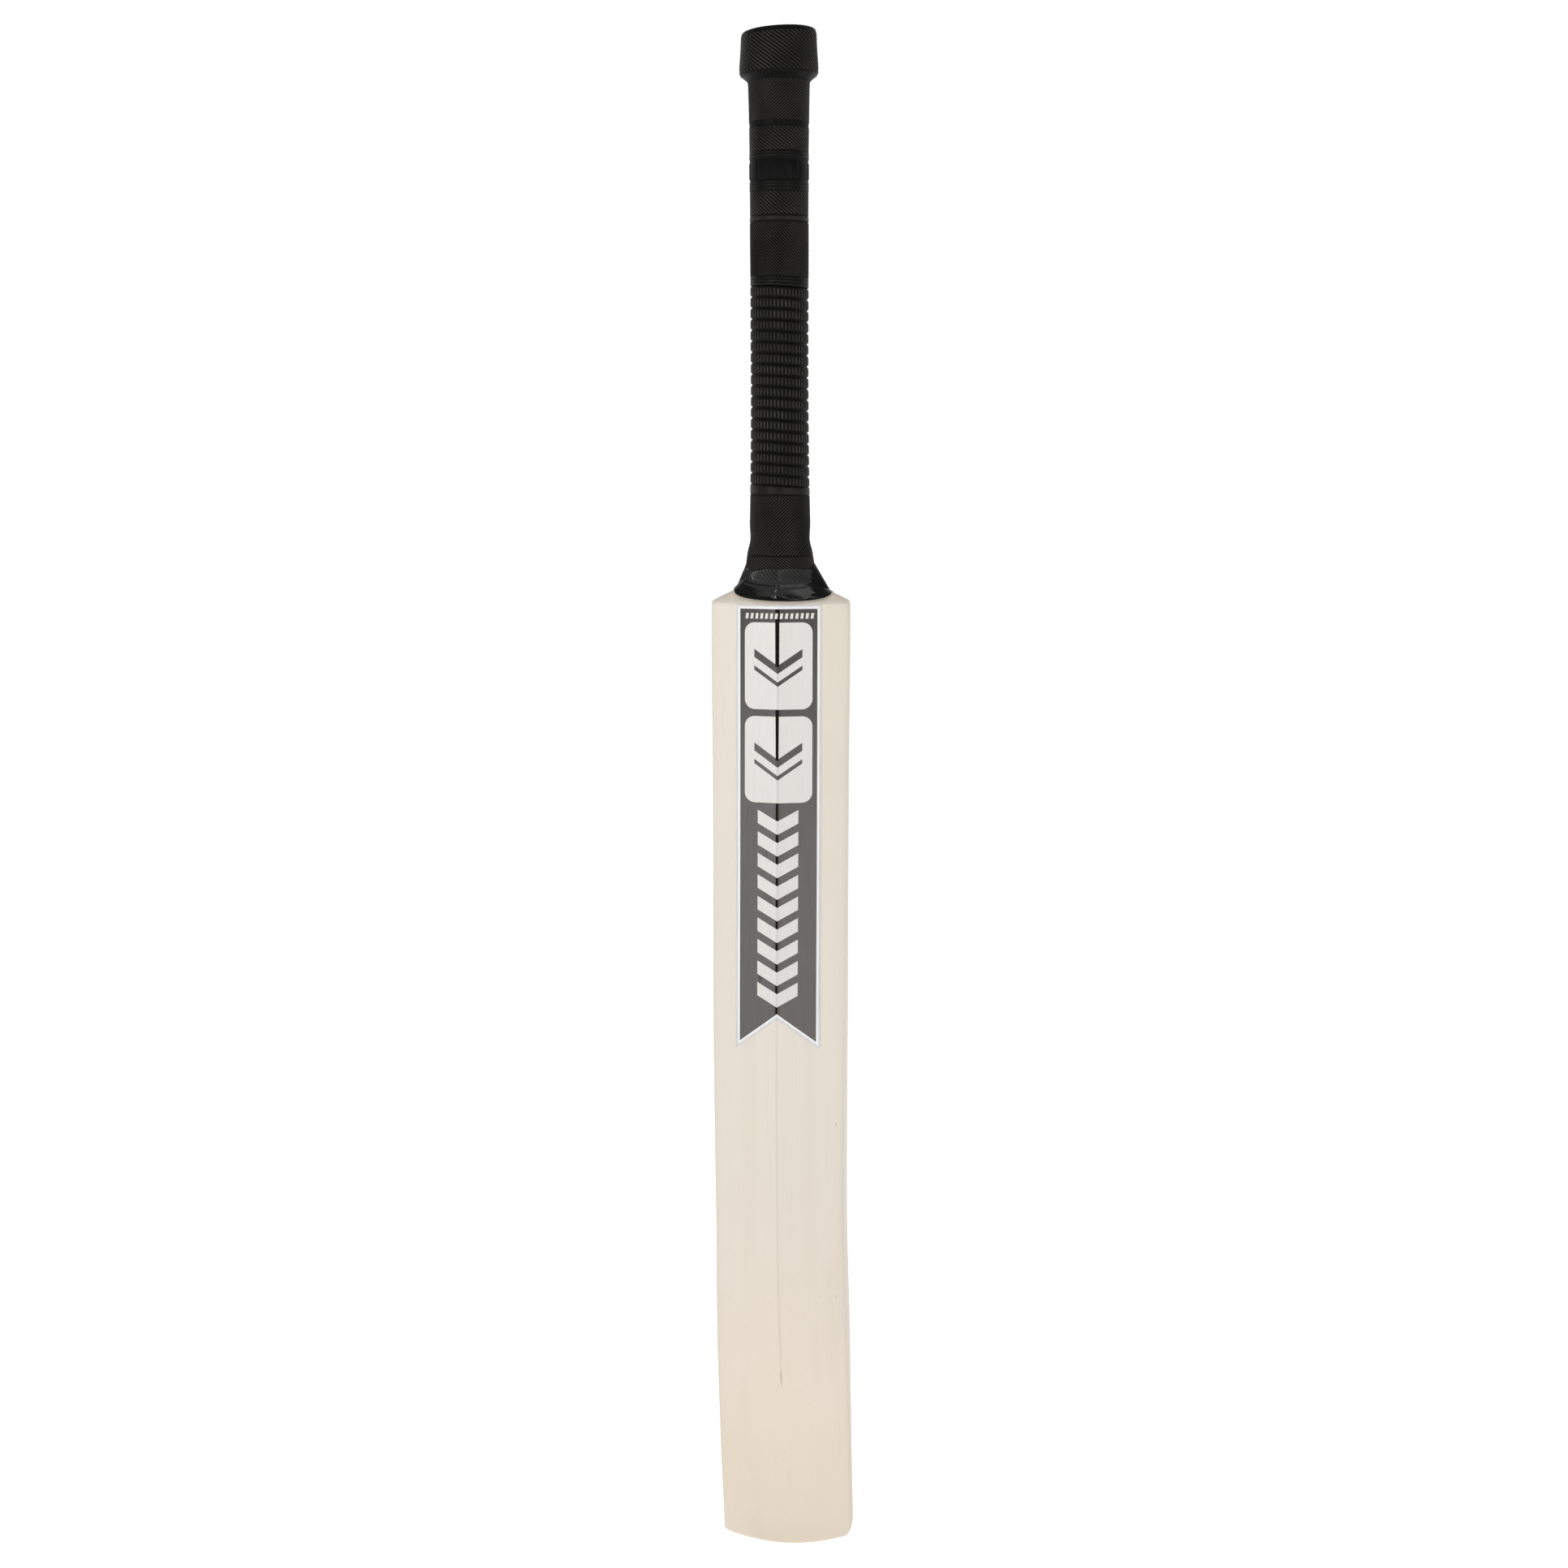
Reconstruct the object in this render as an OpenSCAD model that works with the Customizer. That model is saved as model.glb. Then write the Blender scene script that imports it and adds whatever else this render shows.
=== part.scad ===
// Narrow-bladed practice cricket bat: willow blade, spliced cane handle, moulded rubber grip.
// Millimetres. +Z runs up the handle, -Y is the ridged back, +Y is the hitting face, toe on Z = 0.

/* [Overall] */
// Length from the toe to the top of the grip
total_length = 860; // [780:1:880]
// Height of the shoulder corners above the toe
shoulder_z = 558; // [500:1:570]

/* [Blade] */
// Width of the blade between its edges
blade_width = 76; // [60:1:108]
// How much each edge draws in at the blade's waist
waist = 1.7; // [0:0.1:4]
// Edge thickness at the shoulder
edge_shoulder = 12.5; // [8:0.5:18]
// Edge thickness at the thickest place
edge_swell = 27; // [20:0.5:38]
// Edge thickness at the toe
edge_toe = 17; // [12:0.5:24]
// Height of the back ridge above the edges
spine_rise = 11; // [6:0.5:18]
// How far the toe curves forward of the shoulder
bow = 36; // [10:1:40]
// Rise of the toe's corners above its lowest point
toe_curve = 7; // [0:0.5:14]
// Crown of the hitting face across its width
face_crown = 1.5; // [0.5:0.1:3]

/* [Handle] */
// Diameter of the bare cane handle
cane_diameter = 27; // [25:0.5:30]
// Depth of the V splice below the shoulder
splice_depth = 165; // [130:1:190]
// Half width of the splice at its lower end
splice_tip = 2; // [1:0.5:4]
// Thickness of each rubber spring between the cane slips
spring_thickness = 1.2; // [0.8:0.1:2]
// Thickness of the twine binding
binding_thickness = 0.8; // [0.5:0.1:1.2]

/* [Grip] */
// Outside diameter of the grip along its plain part
grip_diameter = 31.4; // [30:0.2:36]
// Largest diameter of the collar at the top
collar_diameter = 42; // [36:0.2:46]
// Diameter of the opening in the top of the grip
grip_hole = 20; // [14:1:24]
// Number of raised rings in the ribbed band
ring_count = 18; // [8:1:24]
// Distance from one raised ring to the next
ring_pitch = 5.9; // [5:0.1:8]
// Thickness of the tape over the lower end of the grip
tape_thickness = 0.5; // [0.3:0.1:1]

/* [Label] */
// Width of the label, measured across the ridge
label_width = 46.6; // [30:0.2:56]
// Length of the label along its sides
label_length = 245; // [150:1:280]
// Depth of the notch in the label's lower end
label_notch = 18; // [0:1:30]
// Thickness of the label
label_thickness = 0.25; // [0.15:0.05:0.5]

/* [Hidden] */
$fn = 96;

half_blade = blade_width / 2;
cane_r = cane_diameter / 2;
bound_r = cane_r + binding_thickness;
grip_r = grip_diameter / 2;
collar_r = collar_diameter / 2;
cane_top = total_length - 4;
horn_top = shoulder_z + 34;
flare_top = shoulder_z + 42;
tape_top = shoulder_z + 16.5;
slip_thickness = (cane_diameter - 3 * spring_thickness) / 4;
flush = 0.05;
film_gap = 0.06;

// Lengthwise curves, each a list of [height, value]
width_curve = [
  [0, half_blade - 0.4], [60, half_blade - 0.4], [125, half_blade - 0.5],
  [215, half_blade - waist], [330, half_blade - 0.6 * waist], [450, half_blade - 0.4 * waist],
  [shoulder_z - 18, half_blade], [shoulder_z - 3, half_blade],
  [shoulder_z - 1.2, half_blade - 0.6], [shoulder_z, half_blade - 2.7],
  [shoulder_z + 1.4, half_blade - 5.4], [shoulder_z + 2.7, half_blade - 8.1],
  [shoulder_z + 4, half_blade - 10.8], [shoulder_z + 5.6, half_blade - 13.4],
  [shoulder_z + 8, 22], [shoulder_z + 12, 19.2], [shoulder_z + 16.5, 17.6],
  [shoulder_z + 25, 16.2], [horn_top, bound_r], [total_length, bound_r]
];
edge_curve = [
  [0, edge_toe], [60, edge_toe + 2], [140, edge_swell - 3.5], [220, edge_swell],
  [310, edge_swell - 3], [430, edge_shoulder + 4], [shoulder_z - 30, edge_shoulder + 0.5],
  [shoulder_z - 2, edge_shoulder], [shoulder_z + 6, 17], [shoulder_z + 14, 22],
  [shoulder_z + 24, 27], [horn_top, 2 * bound_r], [total_length, 2 * bound_r]
];
rise_curve = [
  [0, 0], [40, 0.6], [80, 3], [120, 7.5], [170, spine_rise], [shoulder_z - 4, spine_rise],
  [shoulder_z + 6, 8], [shoulder_z + 16, 3.5], [horn_top, 0], [total_length, 0]
];
face_curve = [
  [0, 12 + bow], [60, 12 + bow * 0.66], [140, 12 + bow * 0.31], [220, 12 + bow * 0.1],
  [310, 12], [430, 11.2], [shoulder_z - 4, 12], [shoulder_z + 12, 13],
  [horn_top, bound_r], [total_length, bound_r]
];
crown_curve = [[0, face_crown], [shoulder_z - 4, face_crown], [shoulder_z + 14, 0.3],
               [horn_top, 0], [total_length, 0]];
// Scoop in the back of the shoulders, between the flat back and the handle
dish_curve = [[0, 0], [shoulder_z - 3, 0], [shoulder_z + 1, 1.9], [shoulder_z + 5, 2.4],
              [shoulder_z + 14, 1.2], [shoulder_z + 28, 0], [total_length, 0]];
corner_curve = [
  [0, 13], [shoulder_z - 12, 13], [shoulder_z - 3, 9], [shoulder_z + 2, 5], [shoulder_z + 7, 3.2],
  [shoulder_z + 16, 2.5], [horn_top, 2], [total_length, 2]
];

// Smooth interpolation of a [height, value] list
function segment(z, t, i = 0) = i >= len(t) - 2 || z < t[i + 1][0] ? i : segment(z, t, i + 1);
function rate(t, i) = (t[i + 1][1] - t[i][1]) / (t[i + 1][0] - t[i][0]);
function slope_at(t, i) =
  i <= 0 || i >= len(t) - 1 ? 0 :
  let (a = rate(t, i - 1), b = rate(t, i))
  a * b <= 0 ? 0 : 2 * a * b / (a + b);
function curve(z, t) =
  let (i = segment(z, t),
       h = t[i + 1][0] - t[i][0],
       u = min(max((z - t[i][0]) / h, 0), 1),
       a = t[i][1], b = t[i + 1][1],
       ma = slope_at(t, i) * h, mb = slope_at(t, i + 1) * h)
  (2 * u * u * u - 3 * u * u + 1) * a + (u * u * u - 2 * u * u + u) * ma
  + (3 * u * u - 2 * u * u * u) * b + (u * u * u - u * u) * mb;

// The blade's outer skin: u runs from -1 to 1 across the width, g moves the skin outward
function round_off(u, z) =
  let (n = curve(z, corner_curve)) pow(1 - pow(0.998 * abs(u), n), 1 / n);
function middle(z) = curve(z, face_curve) - curve(z, crown_curve) - curve(z, edge_curve) / 2;
function side_x(u, z, g) = u * (curve(z, width_curve) + g);
function face_y(u, z, g) =
  middle(z)
  + (curve(z, edge_curve) / 2 + curve(z, crown_curve) * (1 - u * u) + g) * round_off(u, z);
function back_y(u, z, g) =
  middle(z)
  - (curve(z, edge_curve) / 2 + curve(z, rise_curve) * (1 - abs(u)) - curve(z, dish_curve) + g)
    * round_off(u, z);

// Stations across half the width, closer together near the edge
half_steps = [0.14, 0.28, 0.42, 0.56, 0.68, 0.78, 0.86, 0.92, 0.96, 0.985, 1];
across = concat([for (i = [len(half_steps) - 1:-1:0]) -half_steps[i]], [0], half_steps);
columns = len(across);

// Closed skin from rings of equal length, capped at both ends front row to back row
module skin(rings) {
  n = len(rings[0]);
  m = n / 2;
  last = len(rings) - 1;
  sides = [for (j = [0:last - 1], i = [0:n - 1])
    let (a = j * n + i, b = j * n + (i + 1) % n)
    each [[a, b, b + n], [a, b + n, a + n]]];
  ends = [for (i = [0:m - 2]) let (a = i, b = i + 1, c = n - 2 - i, d = n - 1 - i)
    each [[a, d, c], [a, c, b],
          [last * n + a, last * n + c, last * n + d], [last * n + a, last * n + b, last * n + c]]];
  polyhedron(points = [for (r = rings) each r], faces = concat(sides, ends), convexity = 6);
}

// Closed band from paired outer and inner rings that run round the handle
module band(outer, inner) {
  n = len(outer[0]);
  last = len(outer) - 1;
  shift = n * (last + 1);
  walls = [for (j = [0:last - 1], i = [0:n - 1])
    let (a = j * n + i, b = j * n + (i + 1) % n)
    each [[a, b, b + n], [a, b + n, a + n],
          [shift + a, shift + b + n, shift + b], [shift + a, shift + a + n, shift + b + n]]];
  rims = [for (i = [0:n - 1]) let (a = i, b = (i + 1) % n, t = last * n)
    each [[a, shift + b, b], [a, shift + a, shift + b],
          [t + a, t + b, shift + t + b], [t + a, shift + t + b, shift + t + a]]];
  polyhedron(points = concat([for (r = outer) each r], [for (r = inner) each r]),
             faces = concat(walls, rims), convexity = 8);
}

// One ring of the outer skin; back row from right to left, then face row from left to right
function ring(heights, g) = concat(
  [for (i = [columns - 1:-1:0]) [side_x(across[i], heights[i], g), back_y(across[i], heights[i], g),
                                 heights[i]]],
  [for (i = [0:columns - 1]) [side_x(across[i], heights[i], g), face_y(across[i], heights[i], g),
                              heights[i]]]);
function level(z) = [for (u = across) z];

/* Blade */

toe_steps = [0, 0.5, 1.2, 2.4, 4.5, 8, 14, 24];
toe_round = [3.2, 1.9, 1.1, 0.45, 0, 0, 0, 0];
body_levels = [40, 55, 70, 85, 100, 115, 130, 150, 170, 195, 220, 250, 280, 310, 340, 370, 400,
               430, 460, 490, 520, 540, 550];
shoulder_levels = [555, 556.6, 557.6, 558.4, 559.2, 560.2, 561.4, 562.8, 564.6, 567, 570, 574, 579,
                   585, 592];

// The toe's lower edge rises toward its corners, quickly in the last few millimetres
function toe_lift(u) = toe_curve * u * u;
function toe_heights(step) = [for (u = across)
  let (corner = 2.2 * pow(max(abs(u) - 0.9, 0) / 0.1, 2) * (1 - step / 24))
  toe_lift(u) * (1 - step / 24) + corner + step];

module blade_body() {
  scale_z = shoulder_z / 558;
  toe = [for (i = [0:len(toe_steps) - 1]) ring(toe_heights(toe_steps[i]), -toe_round[i])];
  body = [for (z = body_levels) ring(level(z * scale_z), 0)];
  horns = [for (z = shoulder_levels) ring(level(z - 558 + shoulder_z), 0)];
  skin(concat(toe, body, horns));
}

function splice_outline(side) = [
  [-splice_tip, shoulder_z - splice_depth], [splice_tip, shoulder_z - splice_depth],
  [cane_r, shoulder_z], [cane_r, side], [-cane_r, side], [-cane_r, shoulder_z]
];

module splice_prism(top) {
  rotate([90, 0, 0])
    linear_extrude(height = 120, center = true)
      polygon(splice_outline(top));
}

module blade() {
  color([0.92, 0.86, 0.75])
    difference() {
      blade_body();
      splice_prism(total_length);
    }
}

/* Handle */

// Every piece is moved so that the box around the whole bat is centred front to back
front_limit = face_y(0, 4.5, 0);
back_limit = min([for (z = body_levels) back_y(0, z * shoulder_z / 558, 0)]);
axis_shift = -(front_limit + back_limit) / 2;
module place() {
  translate([0, axis_shift, 0]) children();
}

// The blade's own outline just under the surface, so the splice ends flush with the wood
module inner_skin() {
  low = [for (z = [400, 430, 460, 490, 520, 540, 550]) z * shoulder_z / 558];
  high = [for (z = shoulder_levels) z - 558 + shoulder_z];
  skin([for (z = concat([shoulder_z - splice_depth - 8], low, high)) ring(level(z), -flush)]);
}

// V wedge below the shoulders, round cane above them
module handle_envelope() {
  intersection() {
    splice_prism(cane_top);
    union() {
      inner_skin();
      translate([0, 0, horn_top - 1])
        cylinder(r = cane_r, h = cane_top - horn_top + 1);
    }
  }
}

// Slips are stacked from the back (0) to the face (3)
function slip_start(row) = -cane_r + row * (slip_thickness + spring_thickness);

module cane_strip(row, column) {
  low = row == 0 ? -60 : slip_start(row);
  high = row == 3 ? 60 : slip_start(row) + slip_thickness;
  width = cane_diameter / 3;
  color([0.83, 0.68, 0.44])
    intersection() {
      handle_envelope();
      translate([-cane_r + column * width, low, 0])
        cube([width, high - low, total_length]);
    }
}

module rubber_spring(gap) {
  color([0.16, 0.15, 0.15])
    intersection() {
      handle_envelope();
      translate([-cane_r, slip_start(gap) + slip_thickness, 0])
        cube([cane_diameter, spring_thickness, total_length]);
    }
}

module handle_binding() {
  color([0.80, 0.74, 0.62])
    translate([0, 0, flare_top])
      difference() {
        cylinder(r = bound_r, h = cane_top - flare_top);
        translate([0, 0, -1])
          cylinder(r = cane_r, h = cane_top - flare_top + 2);
      }
}

/* Grip */

ring_start = total_length - 237.7;
ring_end = ring_start + (ring_count - 1) * ring_pitch;
function raised_ring(z) = [
  [grip_r - 0.4, z - ring_pitch / 2 + 0.35], [grip_r + 0.1, z - ring_pitch / 2 + 0.75],
  [grip_r + 0.1, z + ring_pitch / 2 - 0.75], [grip_r - 0.4, z + ring_pitch / 2 - 0.35]
];

module grip_tube() {
  t = total_length;
  rotate_extrude()
    polygon(concat(
      [[bound_r, flare_top - 1], [grip_r + 1.1, flare_top - 1], [grip_r + 1.1, flare_top + 3],
       [grip_r + 0.5, flare_top + 5], [grip_r + 0.3, ring_start - 7.4],
       [grip_r + 0.8, ring_start - 7], [grip_r + 0.8, ring_start - 3.6],
       [grip_r - 0.4, ring_start - 3]],
      [for (i = [0:ring_count - 1]) each raised_ring(ring_start + i * ring_pitch)],
      [[grip_r - 0.4, ring_end + 3], [grip_r + 0.3, ring_end + 3.6],
       [grip_r + 0.3, ring_end + 7.6], [grip_r, ring_end + 8.2], [grip_r, t - 100.8],
       [grip_r + 0.4, t - 100.2], [grip_r + 0.4, t - 97.4], [grip_r, t - 96.8],
       [grip_r + 0.1, t - 84.8], [grip_r + 0.5, t - 84.2], [grip_r + 0.5, t - 79.6],
       [grip_r + 0.1, t - 79], [grip_r + 0.1, t - 68.4], [grip_r + 0.5, t - 67.8],
       [grip_r + 0.5, t - 64.4], [grip_r + 0.2, t - 63.8], [grip_r + 0.5, t - 40],
       [grip_r + 0.8, t - 27.4], [grip_r + 1.4, t - 26.2], [collar_r - 2.3, t - 24.9],
       [collar_r - 0.5, t - 23.5], [collar_r, t - 21.8], [collar_r, t - 19],
       [collar_r - 0.7, t - 9], [collar_r - 1, t - 4], [collar_r - 1.5, t - 1.6],
       [collar_r - 2.6, t - 0.5], [collar_r - 4.5, t],
       [grip_hole / 2 + 1, t], [grip_hole / 2, t - 0.8], [grip_hole / 2, cane_top],
       [bound_r, cane_top]]));
}

// Lower edge of the grip and its tape: lowest on the centre line, higher at the sides
function hem(u, drop) = shoulder_z + 6.4 - drop * pow(1 - u * u, 0.7);
function hem_heights(step, start, drop) =
  [for (u = across) start + (hem(u, drop) - start) * step];
flare_steps = [0, 0.2, 0.38, 0.55, 0.7, 0.82, 0.92, 1];
grip_wall = 1.5;

module grip_flare() {
  top = flare_top + 1;
  outer = [for (s = flare_steps) ring(hem_heights(1 - s, top, 2), grip_wall)];
  inner = [for (s = flare_steps) ring(hem_heights(1 - s, top, 2), 0.15)];
  band(outer, inner);
}

module grip() {
  color([0.11, 0.10, 0.10])
    union() {
      grip_tube();
      grip_flare();
    }
}

tape_steps = [0, 0.3, 0.55, 0.75, 0.9, 1];
module grip_tape() {
  over = grip_wall + film_gap;
  outer = [for (s = tape_steps)
    ring(hem_heights(1 - s, tape_top, 5.4), over + tape_thickness)];
  inner = [for (s = tape_steps) ring(hem_heights(1 - s, tape_top, 5.4), over)];
  color([0.06, 0.06, 0.06])
    band(outer, inner);
}

/* Label */

label_top = shoulder_z - 3;
label_columns = [-1, -0.75, -0.5, -0.25, 0, 0.25, 0.5, 0.75, 1];
label_rows = 9;
function label_u(k) = k * label_width / 2 / half_blade;
function label_bottom(k) = label_top - label_length + label_notch * (1 - abs(k));
function label_z(k, j) = label_top + (label_bottom(k) - label_top) * (1 - j / label_rows);

module back_label() {
  color([0.55, 0.54, 0.53])
    skin([for (j = [0:label_rows]) concat(
      [for (i = [8:-1:0]) let (k = label_columns[i], z = label_z(k, j))
        [side_x(label_u(k), z, 0), back_y(label_u(k), z, film_gap + label_thickness), z]],
      [for (k = label_columns) let (z = label_z(k, j))
        [side_x(label_u(k), z, 0), back_y(label_u(k), z, film_gap), z]])]);
}

place() blade();
place() cane_strip(0, 0);  // cane_strip_1
place() cane_strip(0, 1);  // cane_strip_2
place() cane_strip(0, 2);  // cane_strip_3
place() cane_strip(1, 0);  // cane_strip_4
place() cane_strip(1, 1);  // cane_strip_5
place() cane_strip(1, 2);  // cane_strip_6
place() cane_strip(2, 0);  // cane_strip_7
place() cane_strip(2, 1);  // cane_strip_8
place() cane_strip(2, 2);  // cane_strip_9
place() cane_strip(3, 0);  // cane_strip_10
place() cane_strip(3, 1);  // cane_strip_11
place() cane_strip(3, 2);  // cane_strip_12
place() rubber_spring(0);  // rubber_spring_1
place() rubber_spring(1);  // rubber_spring_2
place() rubber_spring(2);  // rubber_spring_3
place() handle_binding();
place() grip();
place() grip_tape();
place() back_label();
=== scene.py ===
import math

import bmesh
import bpy
from mathutils import Matrix, Vector, noise


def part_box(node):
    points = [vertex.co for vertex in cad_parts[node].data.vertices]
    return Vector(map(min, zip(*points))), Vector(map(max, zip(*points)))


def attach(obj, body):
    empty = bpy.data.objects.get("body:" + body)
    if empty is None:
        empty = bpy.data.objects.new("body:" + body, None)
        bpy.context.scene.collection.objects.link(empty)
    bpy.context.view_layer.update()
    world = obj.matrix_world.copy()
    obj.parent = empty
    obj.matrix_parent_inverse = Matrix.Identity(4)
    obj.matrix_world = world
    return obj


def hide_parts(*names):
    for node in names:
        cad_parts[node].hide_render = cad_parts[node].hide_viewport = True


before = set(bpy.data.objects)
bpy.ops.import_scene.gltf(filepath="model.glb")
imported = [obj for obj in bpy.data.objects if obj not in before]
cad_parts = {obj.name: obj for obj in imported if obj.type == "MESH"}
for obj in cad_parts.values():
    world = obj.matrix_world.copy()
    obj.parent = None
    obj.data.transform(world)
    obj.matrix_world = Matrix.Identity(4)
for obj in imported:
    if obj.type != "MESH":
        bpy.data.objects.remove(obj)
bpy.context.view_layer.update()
MM = 0.001

binding_low, binding_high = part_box("handle_binding")
AXIS_Y = (binding_low.y + binding_high.y) / 2 / MM
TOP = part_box("grip")[1].z / MM
HANDLE = 302.0  # from the shoulders to the top of the grip
SHOULDER = TOP - HANDLE
HALF = 38.0  # half the blade's width
TWINE = 0.8  # thickness of the binding
BOUND_R = (binding_high.x - binding_low.x) / 2 / MM
CANE_R = BOUND_R - TWINE
HORN_TOP = SHOULDER + 34
FLARE_TOP = SHOULDER + 42

# ---------------------------------------------------------------- blade form, in millimetres

WAIST = 1.7  # how far each edge draws in at the narrowest height
BOW = 36.0  # how far the toe curves forward
RISE = 11.0  # height of the back's ridge above the edges

# Tables of (height, value) up the bat: half-width, thickness at the edge, height of the ridge,
# line of the face, crown of the face, hollow below the handle, and how square the corners are
WIDTH = [
    (0, HALF - 0.4), (60, HALF - 0.4), (125, HALF - 0.5), (215, HALF - WAIST),
    (330, HALF - 0.6 * WAIST), (450, HALF - 0.4 * WAIST), (SHOULDER - 18, HALF),
    (SHOULDER - 3, HALF), (SHOULDER - 1.2, HALF - 0.6), (SHOULDER, HALF - 2.7),
    (SHOULDER + 1.4, HALF - 5.4), (SHOULDER + 2.7, HALF - 8.1), (SHOULDER + 4, HALF - 10.8),
    (SHOULDER + 5.6, HALF - 13.4), (SHOULDER + 8, 22), (SHOULDER + 12, 19.2),
    (SHOULDER + 16.5, 17.6), (SHOULDER + 25, 16.2), (HORN_TOP, BOUND_R), (TOP, BOUND_R),
]
EDGE = [
    (0, 17), (60, 19), (140, 23.5), (220, 27), (310, 24), (430, 16.5), (SHOULDER - 30, 13),
    (SHOULDER - 2, 12.5), (SHOULDER + 6, 17), (SHOULDER + 14, 22), (SHOULDER + 24, 27),
    (HORN_TOP, 2 * BOUND_R), (TOP, 2 * BOUND_R),
]
ROOF = [
    (0, 0), (40, 0.6), (80, 3), (120, 7.5), (170, RISE), (SHOULDER - 4, RISE),
    (SHOULDER + 6, 8), (SHOULDER + 16, 3.5), (HORN_TOP, 0), (TOP, 0),
]
FACE = [
    (0, 12 + BOW), (60, 12 + BOW * 0.66), (140, 12 + BOW * 0.31), (220, 12 + BOW * 0.1),
    (310, 12), (430, 11.2), (SHOULDER - 4, 12), (SHOULDER + 12, 13), (HORN_TOP, BOUND_R),
    (TOP, BOUND_R),
]
CROWN = [(0, 1.5), (SHOULDER - 4, 1.5), (SHOULDER + 14, 0.3), (HORN_TOP, 0), (TOP, 0)]
DISH = [(0, 0), (SHOULDER - 3, 0), (SHOULDER + 1, 1.9), (SHOULDER + 5, 2.4), (SHOULDER + 14, 1.2),
        (SHOULDER + 28, 0), (TOP, 0)]
CORNER = [
    (0, 13), (SHOULDER - 12, 13), (SHOULDER - 3, 9), (SHOULDER + 2, 5), (SHOULDER + 7, 3.2),
    (SHOULDER + 16, 2.5), (HORN_TOP, 2), (TOP, 2),
]


def curve(z, table):
    """Smooth curve through (height, value) pairs with no overshoot."""
    i = 0
    while i < len(table) - 2 and z >= table[i + 1][0]:
        i += 1

    def rate(k):
        return (table[k + 1][1] - table[k][1]) / (table[k + 1][0] - table[k][0])

    def slope(k):
        if k <= 0 or k >= len(table) - 1:
            return 0.0
        a, b = rate(k - 1), rate(k)
        return 0.0 if a * b <= 0 else 2 * a * b / (a + b)

    h = table[i + 1][0] - table[i][0]
    u = min(max((z - table[i][0]) / h, 0.0), 1.0)
    a, b = table[i][1], table[i + 1][1]
    ma, mb = slope(i) * h, slope(i + 1) * h
    return (
        (2 * u ** 3 - 3 * u ** 2 + 1) * a + (u ** 3 - 2 * u ** 2 + u) * ma
        + (3 * u ** 2 - 2 * u ** 3) * b + (u ** 3 - u ** 2) * mb
    )


def round_off(u, n):
    return (1 - (0.998 * abs(u)) ** n) ** (1 / n)


def half_width(z):
    return curve(z, WIDTH)


def middle(z):
    return curve(z, FACE) - curve(z, CROWN) - curve(z, EDGE) / 2


def face_y(u, z, g=0.0):
    depth = curve(z, EDGE) / 2 + curve(z, CROWN) * (1 - u * u) + g
    return middle(z) + depth * round_off(u, curve(z, CORNER))


def back_y(u, z, g=0.0, soft=0.0):
    """soft rounds the ridge over that many millimetres either side of the centre line."""
    w = half_width(z)
    across = math.sqrt((u * w) ** 2 + soft ** 2) / w
    depth = curve(z, EDGE) / 2 + curve(z, ROOF) * (1 - across) - curve(z, DISH) + g
    return middle(z) - depth * round_off(u, curve(z, CORNER))


def mix(a, b, t):
    return a + (b - a) * t


def smooth_step(a, b, x):
    t = min(max((x - a) / (b - a), 0.0), 1.0)
    return t * t * (3 - 2 * t)


# ---------------------------------------------------------------- mesh helpers


def make_object(name, verts, faces, material, sharp):
    """Mesh from millimetre points in handle coordinates, shaded smooth except at sharp edges.

    A fourth number in a point is kept as the attribute relief: 0 in a groove and 1 on a crest,
    or on the blade 0 on the hitting face and 1 on the back.
    """
    mesh = bpy.data.meshes.new(name)
    mesh.from_pydata([(v[0] * MM, (v[1] + AXIS_Y) * MM, v[2] * MM) for v in verts], [], faces)
    if len(verts[0]) > 3:
        relief = mesh.attributes.new("relief", "FLOAT", "POINT")
        for item, v in zip(relief.data, verts):
            item.value = v[3]
    obj = bpy.data.objects.new(name, mesh)
    bpy.context.scene.collection.objects.link(obj)
    mesh.materials.append(material)
    work = bmesh.new()
    work.from_mesh(mesh)
    bmesh.ops.remove_doubles(work, verts=work.verts, dist=2e-6)
    bmesh.ops.recalc_face_normals(work, faces=work.faces)
    for f in work.faces:
        f.smooth = True
    work.to_mesh(mesh)
    work.free()
    mesh.set_sharp_from_angle(angle=math.radians(sharp))
    mesh.update()
    return obj


def loft(rows, closed_rows=False):
    """Quads between closed loops of equal length; closed_rows joins the last loop to the first."""
    n = len(rows[0])
    verts = [p for row in rows for p in row]
    faces = []
    for j in range(len(rows) if closed_rows else len(rows) - 1):
        a, b = j * n, ((j + 1) % len(rows)) * n
        for i in range(n):
            k = (i + 1) % n
            faces.append((a + i, a + k, b + k, b + i))
    return verts, faces


# ---------------------------------------------------------------- node helpers


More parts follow.
